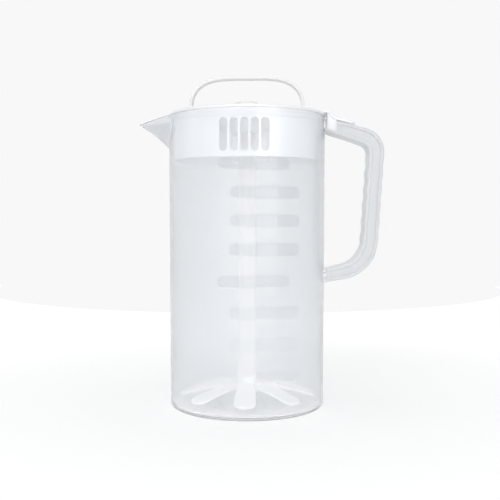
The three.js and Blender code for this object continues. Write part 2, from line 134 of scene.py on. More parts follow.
# Strainer slots at the front of the skirt and the pouring window at its back
SLOTS = 5
SLOT_W = 5.9
SLOT_PITCH = 7.5
SLOT_HIGH = 24.4
SLOT_FOOT = 3.8
POUR_W = 32.0
POUR_HIGH = 22.0
POUR_CORNER = 5.0
SLOT_CUT = 12.0
POUR_CUT = 30.0
HAIR = 0.01

# Thumb tab, and the key under it
TAB_W = 24.0
TAB_T = 2.1
TAB_END = RIM_R + 22.8
TAB_CORNER = 5.0
TAB_SLOPE = math.radians(15)
TAB_GAP = 0.2
TAB_ARCH = 1.9
TAB_ARCH_START = RIM_R - 6.0
TAB_CREST = RIM_R + 1.6
TAB_LANDING = TAB_CREST + 4.6
TAB_BEND_R = 2.2
TAB_KNEE_R = 2.0
TAB_KNEE_RUN = 3.0
TAB_ROUND = 0.55
KEY_IN = RIM_R + 2.2
KEY_OUT = KEY_IN + 7.2
KEY_STRAP = 2.6
KEY_W = 21.2
KEY_GAP = 0.2

# Gasket in the skirt's groove
GASKET_HIGH = 3.0
GASKET_DEEP = 1.3
GASKET_DROP = 3.0
GROOVE_GAP = 0.05
GASKET_EDGE = 0.2
GASKET_LIP = 0.4
GASKET_LIP_DROP = 1.0

# Loop on top of the lid, its bar and its socket
LOOP_HALF = RIM_R - LAND_W - 8.0
LOOP_HIGH = 30.3
LOOP_SHOULDER = 8.15
LOOP_D = 9.0
LOOP_T = 2.5
LOOP_POWER = 0.5
LOOP_EDGE = 0.9
LOOP_CORNER = 1.6
EYE_CORNER = 2.2
BAR_HIGH = 5.5
SOCKET_R = 9.2
SOCKET_HIGH = 9.8
SOCKET_LIP_W = 3.2
SOCKET_LIP_R = 0.6
SOCKET_LIP_LIFT = 0.2
SOCKET_DISH = 0.5

# Stirrer: hub and paddles
HUB_R = 7.6
HUB_FOOT = 10.0
HUB_HIGH = 13.2
HUB_HEM = 1.2
HUB_EDGE = 0.5
HUB_LIP_W = 0.7
HUB_DISH = 0.4
PADDLES = 8
PADDLE_TIP_GAP = 5.2
PADDLE_ROOT_W = 12.5
PADDLE_TIP_W = 17.0
PADDLE_CORNER = 6.5
PADDLE_T = 2.0
PADDLE_ROOT_Z = 17.0
PADDLE_TIP_Z = 9.8
PADDLE_DISH = 0.8
PADDLE_EDGE_W = 3.0
PADDLE_TIP_THIN = (0.9, 0.7, 0.35)

# The photograph: its side in pixels, its focal length in pixels, where the vessel's axis and the
# horizon lie in it, and how far off, how high and how far round the camera stands.
PHOTO = 500.0
FOCAL_PX = 806.0
AXIS_PX = 247.0
HORIZON_PX = 223.7
CAMERA_FAR = 634.0
CAMERA_HIGH = 141.9
CAMERA_ROUND = math.radians(2)

# The table and its backdrop, in metres: the backdrop's grey starts past an arc about a far centre.
# The table glows by itself, between two pairs of distance from the object and strength; the weaker glow near
# the object is a painted shadow around the foot.
TABLE_HALF = 6.0
TABLE_Z = -0.0004
TABLE_WHITE = (0.62, 0.62, 0.62, 1)
ARC_CENTRE = (-0.0421, 1.2053, 0)
ARC_R = 0.559
BACK_Y = 1.206
GLOW_NEAR_PAINTED_SHADOW, GLOW_FAR = (0.1, 0.42), (0.44, 0.57)
BACKDROP_GREY = (0.939, 0.939, 0.939, 1)
ROOM_LIGHT = (0.97, 0.98, 1.0, 1)
ROOM_STRENGTH = 0.38

# Lamps in metres and watts: name, place, power, width of the disc. All point at the same spot.
LAMPS = (("key", (-0.5, -1.35, 1.0), 10.8, 1.3), ("fill", (0.8, -1.35, 0.25), 5.5, 0.9),
         ("rear", (0.1, 1.2, 0.35), 5.0, 1.8), ("top", (0.0, -0.1, 1.6), 4.7, 1.0))
LAMP_AIM = (0, 0, 0.12)

# How the joined skin is marked: shares of full effect, and the heights over which they fade.
INNER_SHEEN = 0.3
FOOT_SHEEN, FOOT_SHEEN_Z = 0.7, (34.0, 22.0)
# Greyer base colour on the spout, and in the windows as painted shade of the dim inside, least at the bottom.
SPOUT_GREY, SPOUT_GREY_RUN = 0.62, 2.0
WINDOW_PAINTED_SHADE_LEAST, WINDOW_PAINTED_SHADE_Z = 0.12, (40.0, 110.0)
# Painted light: the wall's colour turns paler at the foot and just under the rim, lightening the shade seen
# through the wall there.
PAINTED_LIGHT_FOOT_Z = (12.0, 5.0)
RIM_PAINTED_LIGHT, RIM_PAINTED_LIGHT_DROP = 0.55, (3.0, 1.0)
NEAR_BORE, NEAR_FLOOR, NEAR_SKIN = 0.15, 0.05, 0.6

# How deep the moulded grain looks, in metres
GRAIN_DEEP = 0.0002


# ---- meshes from grids ----

def grid_mesh(name, points, wrap_u=False, wrap_v=False, caps=False):
    """Mesh over a grid of points[u, v]. Neighbouring points join in quads, the last row or column joins
    the first where it wraps, a column at either end of v whose points coincide is one pole, and caps
    close both ends of u. A corner that repeats the one before it drops out of its quad."""
    points = np.asarray(points, float)
    nu, nv = points.shape[:2]
    index = np.arange(nu * nv).reshape(nu, nv)
    for row in (index[:, 0], index[:, -1]):
        if np.ptp(points[row // nv, row % nv], axis=0).max() < 1e-9:
            row[:] = row[0]
    iu = np.arange(nu if wrap_u else nu - 1)
    iv = np.arange(nv if wrap_v else nv - 1)
    a = index[np.ix_(iu, iv)]
    b = index[np.ix_((iu + 1) % nu, iv)]
    c = index[np.ix_((iu + 1) % nu, (iv + 1) % nv)]
    d = index[np.ix_(iu, (iv + 1) % nv)]
    quads = np.stack([a, b, c, d], -1).reshape(-1, 4)
    apart = quads != np.roll(quads, 1, axis=1)
    whole = apart.sum(1) > 2
    corners, sizes = quads[whole][apart[whole]], apart[whole].sum(1)
    if caps:
        corners = np.concatenate([corners, index[0][::-1], index[-1]])
        sizes = np.concatenate([sizes, [nv, nv]])
    used, corners = np.unique(corners, return_inverse=True)
    mesh = bpy.data.meshes.new(name)
    mesh.vertices.add(len(used))
    mesh.vertices.foreach_set("co", (points.reshape(-1, 3)[used] * METRE).ravel())
    mesh.loops.add(len(corners))
    mesh.loops.foreach_set("vertex_index", corners.astype(np.int32))
    mesh.polygons.add(len(sizes))
    mesh.polygons.foreach_set("loop_start", (np.cumsum(sizes) - sizes).astype(np.int32))
    mesh.update(calc_edges=True)
    mesh.validate()
    obj = bpy.data.objects.new(name, mesh)
    bpy.context.scene.collection.objects.link(obj)
    return obj


def face_outwards(obj):
    """Turns the mesh right side out where its enclosed volume, the sum of its faces' cone volumes, is
    negative."""
    mesh = obj.data
    mesh.calc_loop_triangles()
    co = np.zeros(len(mesh.vertices) * 3)
    mesh.vertices.foreach_get("co", co)
    tri = np.zeros(len(mesh.loop_triangles) * 3, int)
    mesh.loop_triangles.foreach_get("vertices", tri)
    p = co.reshape(-1, 3)[tri.reshape(-1, 3)]
    if np.einsum("ij,ij->i", p[:, 0], np.cross(p[:, 1], p[:, 2])).sum() < 0:
        mesh.flip_normals()
    return obj


def smooth(obj, sharp_deg=32):
    """Smooth shading, with edges sharper than the angle kept crisp."""
    mesh = obj.data
    mesh.polygons.foreach_set("use_smooth", np.ones(len(mesh.polygons), bool))
    mesh.set_sharp_from_angle(angle=math.radians(sharp_deg))
    return obj


def carve(obj, *steps):
    """Joins other closed solids to obj, or cuts them out of it, in turn, and keeps the result as its mesh."""
    for operation, tool in steps:
        cut = obj.modifiers.new("carve", "BOOLEAN")
        cut.operation = operation
        cut.solver = "EXACT"
        cut.object = tool
    bpy.context.view_layer.update()
    carved = obj.evaluated_get(bpy.context.evaluated_depsgraph_get())
    mesh = bpy.data.meshes.new_from_object(carved)
    obj.modifiers.clear()
    obj.data = mesh
    for _, tool in steps:
        bpy.data.objects.remove(tool)
    return obj


def revolve(name, profile, steps=192):
    """Closed solid of revolution: point(u, v) is the profile's (r, z) at v turned by the angle u. The
    profile is a list of stretches of points. It ends on the axis or closes on itself."""
    profile = np.concatenate([np.asarray(stretch, float) for stretch in profile])
    closed = profile[0, 0] > 1e-9
    turn = np.linspace(0, 2 * np.pi, steps, endpoint=False)[:, None]
    r, z = profile[None, :, 0], profile[None, :, 1]
    points = np.stack([r * np.cos(turn), r * np.sin(turn), z + 0 * turn], -1)
    return face_outwards(grid_mesh(name, points, wrap_u=True, wrap_v=closed))


def arc(cx, cz, radius, start_deg, end_deg, steps=6):
    """Points on a round corner, centre plus radius at angles from start to end."""
    a = np.radians(np.linspace(start_deg, end_deg, steps + 1))
    return np.stack([cx + radius * np.cos(a), cz + radius * np.sin(a)], -1)


def plate(name, outline, depth, centre_y=0.0):
    """Upright prism: the closed (x, z) outline at y = -depth/2 and +depth/2, capped flat."""
    outline = np.asarray(outline, float)
    y = centre_y + depth * np.array([-0.5, 0.5])[:, None]
    x, z = outline[None, :, 0] + 0 * y, outline[None, :, 1] + 0 * y
    return face_outwards(grid_mesh(name, np.stack([x, y + 0 * x, z], -1), wrap_v=True, caps=True))


def route(corners, spacing=1.2, bend_steps=16):
    """Path of straight legs and round bends through (x, z, radius) corners. Returns points and unit
    directions, every leg cut to the spacing and every bend to equal angles."""
    c = np.asarray(corners, float)
    points, ahead = [], []
    start = c[0, :2]
    for i in range(1, len(c)):
        into = c[i, :2] - c[i - 1, :2]
        into /= np.hypot(*into)
        end = c[i, :2]
        if i + 1 < len(c):
            out = c[i + 1, :2] - c[i, :2]
            out /= np.hypot(*out)
            turn = math.atan2(into[0] * out[1] - into[1] * out[0], into @ out)
            end = c[i, :2] - into * c[i, 2] * math.tan(abs(turn) / 2)
        steps = max(1, int(round(np.hypot(*(end - start)) / spacing)))
        share = np.linspace(0, 1, steps + 1)[:, None]
        leg = start + (end - start) * share
        points.append(leg[:-1] if i + 1 < len(c) else leg)
        ahead.append(np.repeat(into[None], len(points[-1]), 0))
        if i + 1 < len(c):
            side = np.array([-into[1], into[0]]) * math.copysign(c[i, 2], turn)
            spin = turn * np.linspace(0, 1, bend_steps + 1)[:, None]
            cos, sin = np.cos(spin), np.sin(spin)
            arm = np.concatenate([side[0] * cos - side[1] * sin, side[0] * sin + side[1] * cos], 1)
            bend = end + side - arm
            way = np.concatenate([into[0] * cos - into[1] * sin, into[0] * sin + into[1] * cos], 1)
            points.append(bend[:-1])
            ahead.append(way[:-1])
            start = bend[-1]
    return np.concatenate(points), np.concatenate(ahead)


# ---- vessel with its spout ----

def outer_r(z):
    """Radius of the vessel's outside: it grows in a straight line from the foot to the rim."""
    return BASE_R + (RIM_R - BASE_R) * z / RIM_Z


def smoothstep(x):
    """Soft step from 0 to 1: x squared times (3 less 2x), with x held between 0 and 1."""
    x = np.clip(x, 0, 1)
    return x * x * (3 - 2 * x)


def share_of(value, start, end):
    """How far the value has come from start to end: 0 at start and 1 at end, in a straight line."""
    return (value - start) / (end - start)


SPOUT_FOOT_Z = RIM_Z - SPOUT_DEPTH
LIP_MOUTH_X = RIM_R * math.cos(SPOUT_MOUTH)
LIP_SLOPE = SPOUT_TIP_DROP / (RIM_R + SPOUT_REACH - LIP_MOUTH_X)


def spout_r(turn, z, inset):
    """Distance from the axis to the spout's level section, at an angle off -X. The section is two
    straight sides, from the edges of the mouth to a round keel, moved in by the inset."""
    off = np.abs(turn)
    climb = np.clip((z - SPOUT_FOOT_Z) / (SPOUT_DEPTH - SPOUT_TIP_DROP), 1e-4, None)
    r = outer_r(z)
    keel = r + SPOUT_REACH * climb ** KEEL_POWER
    angle = SPOUT_MOUTH * np.clip((z - SPOUT_FOOT_Z) / SPOUT_DEPTH, 1e-4, 1) ** MOUTH_POWER
    edge_x, edge_y = r * np.cos(angle), r * np.sin(angle)
    centre = keel - SPOUT_KEEL_R
    dx, dy = centre - edge_x, edge_y
    half = np.arctan2(dy, dx) - np.arcsin(np.clip(SPOUT_KEEL_R / np.hypot(dx, dy), 0, 1))
    normal_x, normal_y = np.sin(half), np.cos(half)
    ray = normal_x * np.cos(off) + normal_y * np.sin(off)
    side = (normal_x * edge_x + normal_y * edge_y - inset) / np.clip(ray, 1e-3, None)
    radius = SPOUT_KEEL_R - inset
    reach = radius ** 2 - (centre * np.sin(off)) ** 2
    tip = centre * np.cos(off) + np.sqrt(np.clip(reach, 0, None))
    tangent = np.arctan2(radius * normal_y, centre + radius * normal_x)
    section = np.where((off < tangent) & (reach > 0), tip, side)
    return np.where((z > SPOUT_FOOT_Z) & (off < angle * MOUTH_OVERLAP), section, 0)


def lip_z(x):
    """Height of the rim: level, and falling in a straight line from the spout's mouth to its tip."""
    return RIM_Z - LIP_SLOPE * np.clip(-x - LIP_MOUTH_X, 0, None)


def window_mask(around, z):
    """1 inside a graduation window and 0 outside: signed distance to a round-ended bar on the wall."""
    mask = np.zeros(np.broadcast(around, z).shape)
    for i, height in enumerate(WINDOW_Z):
        turn = QUART_TURN if (i + 1) % CUPS_IN_QUART == 0 else CUP_TURN
        along = np.abs(around - turn) * outer_r(z) - (WINDOW_LONG - WINDOW_HIGH) / 2
        distance = np.hypot(np.clip(along, 0, None), z - height) - WINDOW_HIGH / 2
        mask = np.maximum(mask, smoothstep(0.5 - distance / WINDOW_EDGE))
    return mask


def dense(*stretches):
    """Joins evenly spaced stretches (start, end, spacing) into one rising list."""
    parts = [np.arange(round((b - a) / s)) * (b - a) / round((b - a) / s) + a for a, b, s in stretches]
    return np.concatenate(parts)


def vessel():
    """Closed skin: over the angle u round the axis and the way v from the middle of the underside, up
    the outside, over the rim and down the inside to the middle of the floor. The radius swells into the
    spout, the rim follows the lip's plane, and the windows sink into the outside."""
    mouth = math.degrees(SPOUT_MOUTH) + 2
    turn = dense((-180, -174, 0.3), (-174, mouth - 180, 0.9), (mouth - 180, -112, 3), (-112, -44, 0.7),
                 (-44, 180 - mouth, 2.5), (180 - mouth, 174, 0.9), (174, 180, 0.3))
    turn = np.radians(turn)[:, None]
    off_spout = np.angle(np.exp(1j * (turn - np.pi)))
    around = np.angle(np.exp(1j * (turn + np.pi / 2)))
    foot = arc(outer_r(BASE_FILLET) - BASE_FILLET, BASE_FILLET, BASE_FILLET, -90, 0, 8)
    starts = [z - WINDOW_ROWS for z in WINDOW_Z] + [SLOPED_FROM_Z]
    stretches = [(BASE_FILLET + 1, starts[0], COARSE_ROWS)]
    for z, above in zip(WINDOW_Z, starts[1:]):
        stretches += [(z - WINDOW_ROWS, z + WINDOW_ROWS, WINDOW_ROW), (z + WINDOW_ROWS, above, COARSE_ROWS)]
    top_row = RIM_Z - TOP_ROW_DROP
    height = dense(*stretches, (SLOPED_FROM_Z, top_row, 0.8))[None, :]

    def rim_height(inset):
        """The rim's height and radius depend on each other, so each is worked out from the other in turn."""
        z = np.full_like(turn, RIM_Z)
        for _ in range(8):
            r = np.maximum(outer_r(z) - inset, spout_r(off_spout, z, inset))
            z = lip_z(r * np.cos(turn))
        return z

    def wall(z, inset, wall_inset):
        """Radius of the skin: the round wall or the spout, each moved in, whichever is further out."""
        return np.maximum(outer_r(z) - wall_inset, spout_r(off_spout, z, inset))

    lip_out, lip_in = rim_height(0.0), rim_height(SPOUT_WALL)
    low = SPOUT_FOOT_Z

    def squeeze(z, lip):
        """Rows above the spout's foot are drawn together so that the rim's row lies on the lip."""
        return np.where(z > low, low + (z - low) * (lip - low) / (RIM_Z - low), z)

    z_out = squeeze(height, lip_out)
    r_out = wall(z_out, 0.0, 0.0)
    mask = window_mask(around, z_out)
    r_out = r_out - WINDOW_DEEP * mask
    inner_height = dense((8.0, SLOPED_FROM_Z, 2 * COARSE_ROWS), (SLOPED_FROM_Z, top_row, 0.9))[::-1][None, :]
    z_in = squeeze(inner_height, lip_in)
    r_in = wall(z_in, SPOUT_WALL, WALL)
    top_r_out, top_r_in = wall(lip_out, 0.0, 0.0), wall(lip_in, SPOUT_WALL, WALL)
    rim_r = np.concatenate([top_r_out, top_r_out - RIM_EDGE, top_r_in + RIM_EDGE, top_r_in], 1)
    rim_z = np.concatenate([lip_out - RIM_EDGE, lip_out, lip_in, lip_in - RIM_EDGE], 1)
    inner_fillet = BASE_FILLET - WALL / 2
    bowl_z = FLOOR + inner_fillet
    bowl = arc(outer_r(bowl_z) - WALL - inner_fillet, bowl_z, inner_fillet, 0, -90, 8)
    under, bed = np.array([[0, 0], [20, 0], [40, 0]]), np.array([[40, FLOOR], [20, FLOOR], [0, FLOOR]])
    below = np.concatenate([under, foot])[None] * np.ones_like(turn)[..., None]
    inner = np.concatenate([bowl, bed])[None] * np.ones_like(turn)[..., None]
    r = np.concatenate([below[..., 0], r_out, rim_r, r_in, inner[..., 0]], 1)
    z = np.concatenate([below[..., 1], z_out, rim_z, z_in, inner[..., 1]], 1)
    points = np.stack([r * np.cos(turn), r * np.sin(turn), z], -1)
    return face_outwards(grid_mesh("vessel", points, wrap_u=True))


# ---- handle ----

def handle_route():
    """Middle line of the handle: straight legs and round bends through its corners."""
    return route([(RIM_R + reach, RIM_Z - drop, radius) for reach, drop, radius in HANDLE_CORNERS])


def handle_half(points):
    """Half the handle's thickness: it swells with the distance out from either root to the grip."""
    root = np.where(RIM_Z - points[:, 1] < LOW_CORNER_DROP, TOP_ROOT_T, LOW_ROOT_T)
    share = np.clip((points[:, 0] - RIM_R + ROOT_SINK) / SWELL_RUN, 0, 1)
    return (root + (GRIP_T - root) * share) / 2


def handle_surface_z(x, upper):
    """Height of the top arm's upper or under side at a distance from the axis."""
    points, ahead = handle_route()
    half = handle_half(points) * (1 if upper else -1)
    side_x, side_z = points[:, 0] - ahead[:, 1] * half, points[:, 1] + ahead[:, 0] * half
    arm = points[:, 1] > RIM_Z - TOP_ARM_DROP
    order = np.argsort(side_x[arm])
    return float(np.interp(x, side_x[arm][order], side_z[arm][order]))


def handle():
    """Bar swept along the handle's route: its section is a rounded rectangle with a shallow channel in
    each flat side, its inner and outer faces ripple along the grip, and its ends are drawn on to the
    middle of the wall, by a share that falls away over a short length from either root."""
    points, ahead = handle_route()
    full = handle_half(points)[:, None]
    run = np.concatenate([[0], np.cumsum(np.hypot(*np.diff(points, axis=0).T))])[:, None]
    height = points[:, 1:]
    grip = smoothstep((height - WAVE_Z[0]) / WAVE_FADE) * smoothstep((WAVE_Z[1] - height) / WAVE_FADE)
    grip = grip * (points[:, :1] > RIM_R + GRIP_REACH)
    phase = 2 * np.pi * (height - WAVE_Z[0]) / WAVE_PITCH
    half = full - WAVE_HIGH * grip * (1 - np.cos(phase)) / 2
    first_leg = slice(20)
    start = np.interp(CHANNEL_START, points[first_leg, 0], run[first_leg, 0])
    depth = CHANNEL_DEEP * smoothstep((run - start) / CHANNEL_FADE)
    edge = np.minimum(HANDLE_EDGE, full - WAVE_HIGH - full / 2 - CHANNEL_FLANK)
    w = HANDLE_W / 2
    bend = np.radians(np.linspace(0, 90, 7))[None, :]
    centre = full / 2
    side_n = np.concatenate([0 * centre, centre - CHANNEL_FLANK, centre, centre + CHANNEL_FLANK], 1)
    side_y = w - depth * np.array([[1, 1, 0.5, 0]])
    bend_n = half - edge + edge * np.sin(bend)
    bend_y = w - edge + edge * np.cos(bend)
    face_n = half + 0 * bend[:, :3]
    face_y = np.array([[w / 2, 0, -w / 2]]) + 0 * half
    quarter_n = np.concatenate([side_n, bend_n], 1)
    quarter_y = np.concatenate([side_y, bend_y], 1)
    n = np.concatenate([quarter_n, face_n, quarter_n[:, ::-1],
                        -quarter_n[:, 1:], -face_n, -quarter_n[:, :0:-1]], 1)
    y = np.concatenate([quarter_y, face_y, -quarter_y[:, ::-1],
                        -quarter_y[:, 1:], -face_y, quarter_y[:, :0:-1]], 1)
    x = points[:, :1] - ahead[:, 1:] * n
    z = points[:, 1:] + ahead[:, :1] * n
    reach = ROOT_BLEND - np.stack([run, run[-1] - run])
    for end, share in zip((0, -1), smoothstep(reach / ROOT_BLEND)):
        wall_x = np.sqrt((outer_r(z[end]) - WALL / 2) ** 2 - y[end] ** 2)
        x = x + (wall_x - x[end]) * share
    return face_outwards(grid_mesh("handle", np.stack([x, y, z], -1), wrap_v=True, caps=True))


def key_sector(name, gap, half_width):
    """Block between two cylinders about the axis: its (r, z) profile carried across y, with
    x = sqrt(r squared less y squared)."""
    foot_in = handle_surface_z(KEY_IN, False) + KEY_STRAP + KEY_GAP - gap
    foot_out = handle_surface_z(KEY_OUT, False) + KEY_STRAP + KEY_GAP - gap
    top_out, top_mid, top_in = [tab_middle_z(x) + gap for x in (KEY_OUT, TAB_LANDING, KEY_IN)]
    profile = np.array([[KEY_IN - gap, foot_in], [KEY_OUT + gap, foot_out], [KEY_OUT + gap, top_out],
                        [TAB_LANDING, top_mid], [KEY_IN - gap, top_in]])
    y = np.linspace(-half_width, half_width, 25)[:, None]
    r, z = profile[None, :, 0], profile[None, :, 1] + 0 * y
    points = np.stack([np.sqrt(r ** 2 - y ** 2), y + 0 * r, z], -1)
    return face_outwards(grid_mesh(name, points, wrap_v=True, caps=True))


# ---- lid ----

LID_UNDER = RIM_Z + LID_GAP
LID_TOP = LID_UNDER + LID_T
DECK_TOP = LID_TOP - DECK_DROP
DECK_UNDER = DECK_TOP - DECK_T
BOSS_TOP = DECK_TOP + BOSS_RISE
BOSS_FOOT = DECK_UNDER - BOSS_DEPTH
SKIRT_FOOT = LID_UNDER - SKIRT_DEPTH
LAND_R = RIM_R - LAND_W


def skirt_out(z):
    """Radius of the skirt's outside: the vessel's bore less the gap between them."""
    return outer_r(z) - WALL - SKIRT_GAP


def tab_under_z(x):
    """Height of the tab's underside, a slope that rests with a small gap on the handle's highest part."""
    slope = math.tan(TAB_SLOPE)
    rest = max(handle_surface_z(at, True) + at * slope for at in np.linspace(TAB_LANDING, TAB_END, 12))
    return rest + TAB_GAP - x * slope


def tab_corners():
    """Middle of the tab's strip as (x, z, bend radius): level on the lid, over the rim, and down along
    the handle."""
    level = LID_TOP - TAB_T / 2
    rise = TAB_T / 2 / math.cos(TAB_SLOPE)
    return ((LAND_R + 1, level, 0), (TAB_ARCH_START, level, TAB_KNEE_R),
            (TAB_ARCH_START + TAB_KNEE_RUN, level + TAB_ARCH, TAB_KNEE_R),
            (TAB_CREST, level + TAB_ARCH, TAB_BEND_R),
            (TAB_LANDING, tab_under_z(TAB_LANDING) + rise, TAB_BEND_R),
            (TAB_END, tab_under_z(TAB_END) + rise, 0))


def tab_middle_z(x):
    """Height of the tab's middle at a distance from the axis, read between its corners."""
    reach, height, _ = zip(*tab_corners())
    return float(np.interp(x, reach, height))


def lid_shell():
    """Lid turned about the axis: flange with a rounded edge, sunk deck, boss with the grommet's seat, and
    the deep skirt with the gasket's groove."""
    gasket_top = LID_UNDER - GASKET_DROP
    groove_low, groove_high = gasket_top - GASKET_HIGH - GROOVE_GAP, gasket_top + GROOVE_GAP
    seat_r, seat_z = GROMMET_R + LID_GAP, BOSS_TOP - GROMMET_T - LID_GAP
    profile = [
        [[SHAFT_HOLE_R, BOSS_FOOT + HOLE_EDGE], [SHAFT_HOLE_R + HOLE_EDGE, BOSS_FOOT]],
        arc(BOSS_R - BOSS_HEM, BOSS_FOOT + BOSS_HEM, BOSS_HEM, -90, 0),
        arc(BOSS_R + BOSS_CEILING, DECK_UNDER - BOSS_CEILING, BOSS_CEILING, 180, 90),
        arc(skirt_out(DECK_UNDER) - SKIRT_WALL - CEILING_CORNER, DECK_UNDER - CEILING_CORNER,
            CEILING_CORNER, 90, 0),
        arc(skirt_out(SKIRT_FOOT) - SKIRT_WALL + SKIRT_HEM, SKIRT_FOOT + SKIRT_HEM, SKIRT_HEM, 180, 270, 4),
        arc(skirt_out(SKIRT_FOOT) - SKIRT_HEM, SKIRT_FOOT + SKIRT_HEM, SKIRT_HEM, -90, 0, 4),
        [[skirt_out(groove_low), groove_low], [skirt_out(groove_low) - GASKET_DEEP, groove_low],
         [skirt_out(groove_high) - GASKET_DEEP, groove_high], [skirt_out(groove_high), groove_high]],
        [[skirt_out(LID_UNDER), LID_UNDER], [RIM_R - FLANGE_EDGE, LID_UNDER],
         [RIM_R, LID_UNDER + FLANGE_EDGE]],
        arc(RIM_R - LID_FILLET, LID_TOP - LID_FILLET, LID_FILLET, 0, 90, 8),
        arc(LAND_R + LAND_EDGE, LID_TOP - LAND_EDGE, LAND_EDGE, 90, 180, 4),
        arc(LAND_R - DECK_CORNER, DECK_TOP + DECK_CORNER, DECK_CORNER, 0, -90, 5),
        arc(BOSS_R + BOSS_ROOT, DECK_TOP + BOSS_ROOT, BOSS_ROOT, -90, -180, 4),
        arc(BOSS_R - BOSS_TOP_EDGE, BOSS_TOP - BOSS_TOP_EDGE, BOSS_TOP_EDGE, 0, 90, 4),
        [[seat_r, BOSS_TOP], [seat_r, seat_z], [SHAFT_HOLE_R, seat_z]],
    ]
    return revolve("lid_cover", profile, 240)


def tab_plate():
    """Strip along the tab's route: a thin section with rounded edges, whose half width falls along a
    quarter circle at the free end, w(s) = W - c + sqrt(c^2 - (c - d)^2) at a distance d from the end."""
    points, ahead = route(tab_corners(), 0.7, 8)
    left = TAB_END - points[:, 0]
    half_w = TAB_W / 2 - TAB_CORNER + np.sqrt(TAB_CORNER ** 2 - np.clip(TAB_CORNER - left, 0, None) ** 2)
    edge = np.radians(np.linspace(-90, 90, 7))
    e = TAB_T / 2
    n_edge, y_edge = e * np.sin(edge), TAB_ROUND * e * (np.cos(edge) - 1)
    n = np.concatenate([n_edge, n_edge[::-1]])[None, :] + 0 * left[:, None]
    y = np.concatenate([half_w[:, None] + y_edge, -(half_w[:, None] + y_edge[::-1])], 1)
    x = points[:, None, 0] - ahead[:, None, 1] * n
    z = points[:, None, 1] + ahead[:, None, 0] * n
    return face_outwards(grid_mesh("tab", np.stack([x, y, z], -1), wrap_v=True, caps=True))


def slot_outline(x, z, width, high, corner, steps=10):
    """Upright rounded rectangle about (x, z); corner = width / 2 gives round ends."""
    w, h = width / 2 - corner, high / 2 - corner
    centres = ((x + w, z + h), (x - w, z + h), (x - w, z - h), (x + w, z - h))
    rounds = [arc(*at, corner, 90 * k, 90 * (k + 1), steps) for k, at in enumerate(centres)]
    return np.concatenate(rounds)


def lid():
    """Turned shell joined with the tab and the key. Five slots with round ends are cut through the front
    of its skirt, and a rounded window through the back."""
    cover = lid_shell()
    slot_z = SKIRT_FOOT + SLOT_FOOT + SLOT_HIGH / 2
    steps = [("UNION", tab_plate()), ("UNION", key_sector("key", 0.0, KEY_W / 2))]
    for k in range(SLOTS):
        x = (k - (SLOTS - 1) / 2) * SLOT_PITCH
        outline = slot_outline(x, slot_z, SLOT_W, SLOT_HIGH, SLOT_W / 2 - HAIR)
        steps.append(("DIFFERENCE", plate(f"slot_{k}", outline, SLOT_CUT, -skirt_out(slot_z))))
    pour_z = SKIRT_FOOT + SLOT_FOOT + POUR_HIGH / 2
    window = slot_outline(0, pour_z, POUR_W, POUR_HIGH, POUR_CORNER)
    steps.append(("DIFFERENCE", plate("pour_cut", window, POUR_CUT, skirt_out(pour_z))))
    return smooth(carve(cover, *steps))


def gasket():
    """Soft ring turned about the axis: a lip near its top meets the wall, and its outer side slants back
    below the lip to the skirt's own face."""
    top = LID_UNDER - GASKET_DROP
    low = top - GASKET_HIGH
    inner, outer = skirt_out(top) - GASKET_DEEP + GROOVE_GAP, outer_r(low) - WALL - LID_GAP
    edge, hem = GASKET_EDGE, skirt_out(low)
    profile = [
        [[inner + edge, low], [hem - edge / 4, low], [hem, low + edge / 2]],
        arc(outer - GASKET_LIP, top - GASKET_LIP_DROP, GASKET_LIP, -20, 0, 4),
        arc(outer - edge, top - edge, edge, 0, 90, 4),
        [[inner + edge, top], [inner, top - edge], [inner, low + edge]],
    ]
    return smooth(revolve("gasket_ring", profile), sharp_deg=50)


# ---- plunger ----

SOCKET_FOOT = BOSS_TOP + LID_GAP


def loop_outline(inset, foot, corner):
    """Closed (x, z) outline of the loop moved in by the inset: a crown that is half of a squared-off
    ellipse, upright legs, round bottom corners and a level foot."""
    half, shoulder = LOOP_HALF - inset, SOCKET_FOOT + LOOP_SHOULDER
    rise = LOOP_HIGH - LOOP_SHOULDER - inset
    t = np.linspace(0, np.pi, 97)
    across = half * np.sign(np.cos(t)) * np.abs(np.cos(t)) ** LOOP_POWER
    crown = np.stack([across, shoulder + rise * np.sin(t)], -1)
    leg = np.linspace(0, 1, 4)[1:-1, None]
    left_foot, right_foot = np.array([-half, foot + corner]), np.array([half, foot + corner])
    left = crown[-1] + leg * (left_foot - crown[-1])
    level = np.linspace(-1, 1, 22)[1:-1, None] * np.array([half - corner, 0]) + np.array([0, foot])
    right = right_foot + leg * (crown[0] - right_foot)
    return np.concatenate([crown, left, arc(corner - half, foot + corner, corner, 180, 270, 5), level,
                           arc(half - corner, foot + corner, corner, 270, 360, 5), right])


